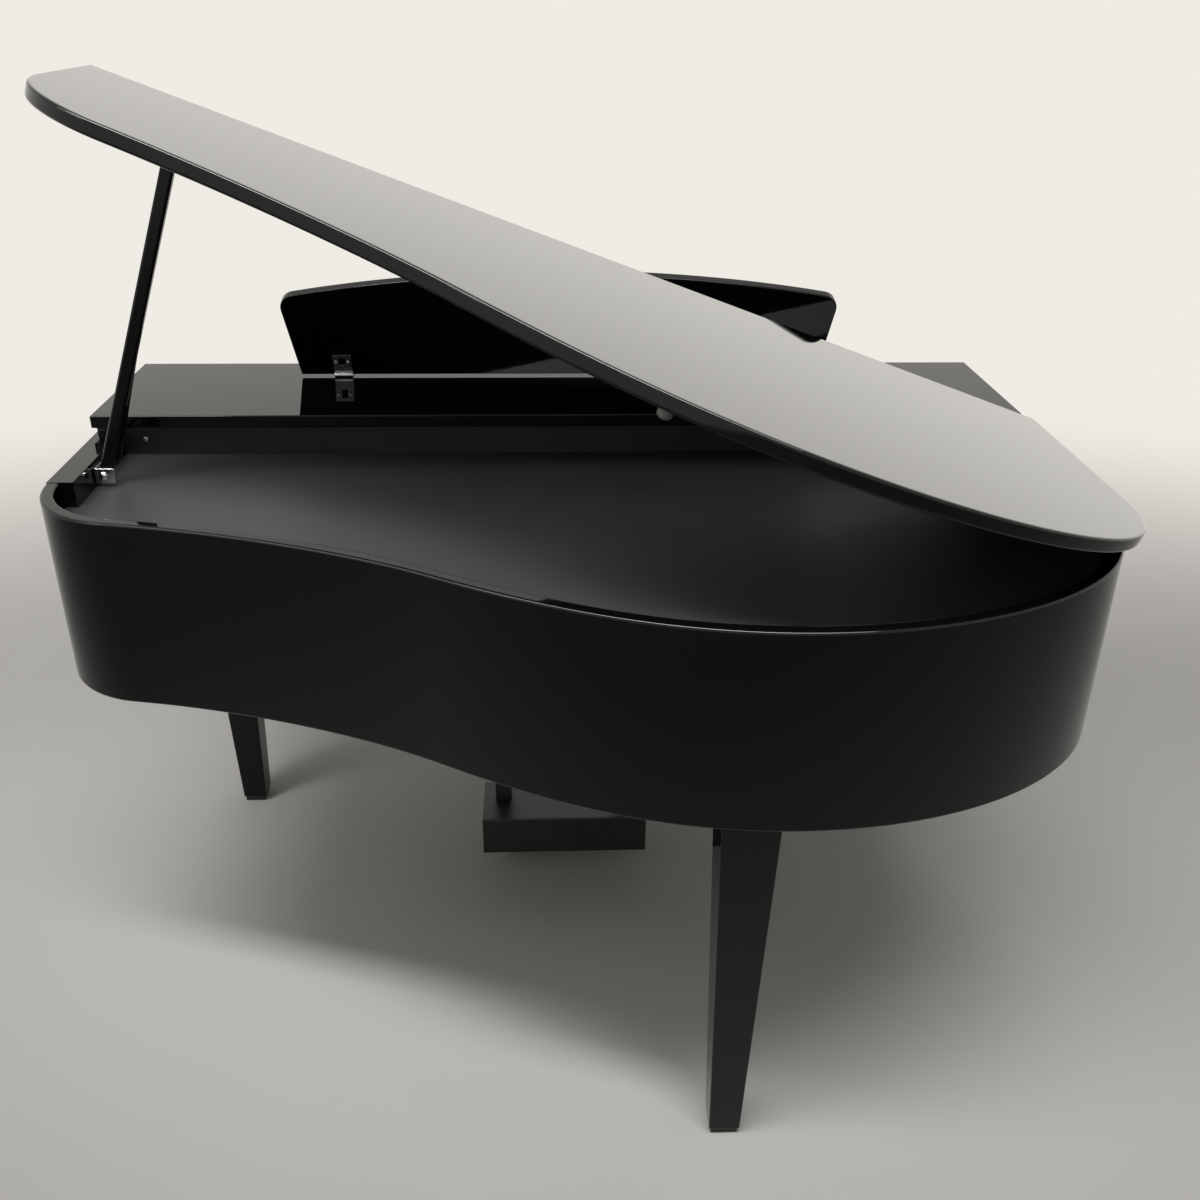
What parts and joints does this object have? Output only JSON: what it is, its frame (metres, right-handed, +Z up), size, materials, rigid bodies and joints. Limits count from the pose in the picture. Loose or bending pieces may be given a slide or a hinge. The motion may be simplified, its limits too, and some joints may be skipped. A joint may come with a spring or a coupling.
{
  "type": "digital grand piano",
  "caption": "Compact grand-shaped digital piano: curved case, propped lid, folding music desk, sliding key cover, keyboard, three pedals and square tapered legs.",
  "frame": {"origin": "on the floor under the middle of the whole instrument as it stands with its lid propped", "axes": "+X to the treble side, +Y to the tail, +Z up"},
  "size_m": [1.4388, 1.104, 1.3728],
  "materials": {
    "black_polyester": "fibreboard with polished black polyester lacquer",
    "matte_black_board": "fibreboard with matt black paint",
    "charcoal_deck": "fibreboard with matt charcoal paint",
    "satin_black": "fibreboard or hardwood with satin black paint",
    "black_rubber": "matt black rubber",
    "pale_rubber": "milky soft rubber",
    "brushed_steel": "brushed, bright",
    "chrome": "polished chrome plate",
    "brass": "polished brass",
    "white_key": "glossy ivory-white moulding",
    "black_key": "satin black moulding",
    "black_plastic": "fine-textured black moulding",
    "speaker_black": "black loudspeaker basket, magnet and cone"
  },
  "bodies": {
    "case": {"rim": "black_polyester", "treble_arm": "black_polyester", "bass_arm": "black_polyester", "bottom_board": "satin_black", "deck": "charcoal_deck", "partition": "matte_black_board", "top_panel": "black_polyester", "key_slip": "black_polyester", "cheek_treble": "black_polyester", "cheek_bass": "black_polyester", "lid_hinge_lower_leaf": "brushed_steel", "prop_bracket": "chrome", "prop_pin": "chrome", "desk_hinge_base_bass": "brushed_steel", "desk_hinge_base_treble": "brushed_steel", "key_chassis": "black_plastic", "control_panel": "black_plastic", "leg_bass": "black_polyester", "leg_treble": "black_polyester", "leg_tail": "black_polyester", "foot_bass": "black_rubber", "foot_treble": "black_rubber", "foot_tail": "black_rubber", "pedal_box": "satin_black", "pedal_post_bass": "satin_black", "pedal_post_treble": "satin_black", "speaker_bass": "speaker_black", "speaker_treble": "speaker_black", "power_inlet": "black_plastic"},
    "lid_body": {"lid": "black_polyester", "lid_hinge_upper_leaf": "brushed_steel", "lid_bumper_tail": "pale_rubber", "lid_bumper_treble": "pale_rubber", "prop_cup": "brushed_steel"},
    "prop_body": {"prop_long": "satin_black"},
    "short_prop_body": {"prop_short": "satin_black"},
    "desk_body": {"music_desk": "black_polyester", "music_ledge": "black_polyester", "desk_hinge_leaf_bass": "brushed_steel", "desk_hinge_leaf_treble": "brushed_steel"},
    "cover_body": {"key_cover": "black_polyester"},
    "volume_body": {"volume_knob": "black_plastic"},
    "power_body": {"power_button": "black_plastic"},
    "soft_body": {"pedal_soft": "brass"},
    "sostenuto_body": {"pedal_sostenuto": "brass"},
    "damper_body": {"pedal_damper": "brass"},
    "white_1_body": {"white_keys_octave_1": "white_key"},
    "black_1_body": {"black_keys_octave_1": "black_key"},
    "white_2_body": {"white_keys_octave_2": "white_key"},
    "black_2_body": {"black_keys_octave_2": "black_key"},
    "white_3_body": {"white_keys_octave_3": "white_key"},
    "black_3_body": {"black_keys_octave_3": "black_key"},
    "white_4_body": {"white_keys_octave_4": "white_key"},
    "black_4_body": {"black_keys_octave_4": "black_key"},
    "white_5_body": {"white_keys_octave_5": "white_key"},
    "black_5_body": {"black_keys_octave_5": "black_key"},
    "white_6_body": {"white_keys_octave_6": "white_key"},
    "black_6_body": {"black_keys_octave_6": "black_key"},
    "white_7_body": {"white_keys_octave_7": "white_key"},
    "black_7_body": {"black_keys_octave_7": "black_key"}
  },
  "joints": [
    {"name": "lid_hinge", "type": "hinge", "parent": "case", "child": "lid_body", "pos_m": [-0.704, 0, 0.865], "axis": [0, -1, 0], "range_deg": [0, 25]},
    {"name": "prop_fold", "type": "hinge", "parent": "case", "child": "prop_body", "pos_m": [0.66, 0.015, 0.839], "axis": [0, -1, 0], "range_deg": [0, 69]},
    {"name": "short_prop_swing", "type": "hinge", "parent": "prop_body", "child": "short_prop_body", "pos_m": [0.58407, 0.015, 1.04761], "axis": [0, -1, 0], "range_deg": [0, 110]},
    {"name": "desk_fold", "type": "hinge", "parent": "case", "child": "desk_body", "pos_m": [0, -0.29, 0.8938], "axis": [-1, 0, 0], "range_deg": [0, 70]},
    {"name": "key_cover_slide", "type": "slide", "parent": "case", "child": "cover_body", "axis": [0, -0.9945, -0.1045], "range_m": [0, 0.165]},
    {"name": "volume_turn", "type": "hinge", "parent": "case", "child": "volume_body", "pos_m": [-0.64325, -0.428, 0.7396], "axis": [0, 0, 1], "range_deg": [-150, 150]},
    {"name": "power_press", "type": "slide", "parent": "case", "child": "power_body", "axis": [0, 0, -1], "range_m": [0, 0.0015], "stiffness_N_per_m": 300, "springref_m": -0.002},
    {"name": "soft_pedal_press", "type": "hinge", "parent": "case", "child": "soft_body", "pos_m": [-0.066, -0.151, 0.078], "axis": [1, 0, 0], "range_deg": [0, 7], "stiffness_Nm_per_rad": 12, "springref_deg": -2.86},
    {"name": "sostenuto_pedal_press", "type": "hinge", "parent": "case", "child": "sostenuto_body", "pos_m": [0, -0.151, 0.078], "axis": [1, 0, 0], "range_deg": [0, 7], "stiffness_Nm_per_rad": 12, "springref_deg": -2.86},
    {"name": "damper_pedal_press", "type": "hinge", "parent": "case", "child": "damper_body", "pos_m": [0.066, -0.151, 0.078], "axis": [1, 0, 0], "range_deg": [0, 7], "stiffness_Nm_per_rad": 12, "springref_deg": -2.86},
    {"name": "white_keys_1_press", "type": "hinge", "parent": "case", "child": "white_1_body", "pos_m": [-0.50525, -0.303, 0.713], "axis": [1, 0, 0], "range_deg": [0, 2.58], "stiffness_Nm_per_rad": 8, "springref_deg": -6.88},
    {"name": "black_keys_1_press", "type": "hinge", "parent": "case", "child": "black_1_body", "pos_m": [-0.50525, -0.281, 0.7235], "axis": [1, 0, 0], "range_deg": [0, 2.4], "stiffness_Nm_per_rad": 3, "springref_deg": -6.88},
    {"name": "white_keys_2_press", "type": "hinge", "parent": "case", "child": "white_2_body", "pos_m": [-0.31725, -0.303, 0.713], "axis": [1, 0, 0], "range_deg": [0, 2.58], "stiffness_Nm_per_rad": 8, "springref_deg": -6.88},
    {"name": "black_keys_2_press", "type": "hinge", "parent": "case", "child": "black_2_body", "pos_m": [-0.31725, -0.281, 0.7235], "axis": [1, 0, 0], "range_deg": [0, 2.4], "stiffness_Nm_per_rad": 3, "springref_deg": -6.88},
    {"name": "white_keys_3_press", "type": "hinge", "parent": "case", "child": "white_3_body", "pos_m": [-0.15275, -0.303, 0.713], "axis": [1, 0, 0], "range_deg": [0, 2.58], "stiffness_Nm_per_rad": 8, "springref_deg": -6.88},
    {"name": "black_keys_3_press", "type": "hinge", "parent": "case", "child": "black_3_body", "pos_m": [-0.15275, -0.281, 0.7235], "axis": [1, 0, 0], "range_deg": [0, 2.4], "stiffness_Nm_per_rad": 3, "springref_deg": -6.88},
    {"name": "white_keys_4_press", "type": "hinge", "parent": "case", "child": "white_4_body", "pos_m": [0.01175, -0.303, 0.713], "axis": [1, 0, 0], "range_deg": [0, 2.58], "stiffness_Nm_per_rad": 8, "springref_deg": -6.88},
    {"name": "black_keys_4_press", "type": "hinge", "parent": "case", "child": "black_4_body", "pos_m": [0.01175, -0.281, 0.7235], "axis": [1, 0, 0], "range_deg": [0, 2.4], "stiffness_Nm_per_rad": 3, "springref_deg": -6.88},
    {"name": "white_keys_5_press", "type": "hinge", "parent": "case", "child": "white_5_body", "pos_m": [0.17625, -0.303, 0.713], "axis": [1, 0, 0], "range_deg": [0, 2.58], "stiffness_Nm_per_rad": 8, "springref_deg": -6.88},
    {"name": "black_keys_5_press", "type": "hinge", "parent": "case", "child": "black_5_body", "pos_m": [0.17625, -0.281, 0.7235], "axis": [1, 0, 0], "range_deg": [0, 2.4], "stiffness_Nm_per_rad": 3, "springref_deg": -6.88},
    {"name": "white_keys_6_press", "type": "hinge", "parent": "case", "child": "white_6_body", "pos_m": [0.34075, -0.303, 0.713], "axis": [1, 0, 0], "range_deg": [0, 2.58], "stiffness_Nm_per_rad": 8, "springref_deg": -6.88},
    {"name": "black_keys_6_press", "type": "hinge", "parent": "case", "child": "black_6_body", "pos_m": [0.34075, -0.281, 0.7235], "axis": [1, 0, 0], "range_deg": [0, 2.4], "stiffness_Nm_per_rad": 3, "springref_deg": -6.88},
    {"name": "white_keys_7_press", "type": "hinge", "parent": "case", "child": "white_7_body", "pos_m": [0.517, -0.303, 0.713], "axis": [1, 0, 0], "range_deg": [0, 2.58], "stiffness_Nm_per_rad": 8, "springref_deg": -6.88},
    {"name": "black_keys_7_press", "type": "hinge", "parent": "case", "child": "black_7_body", "pos_m": [0.517, -0.281, 0.7235], "axis": [1, 0, 0], "range_deg": [0, 2.4], "stiffness_Nm_per_rad": 3, "springref_deg": -6.88}
  ]
}
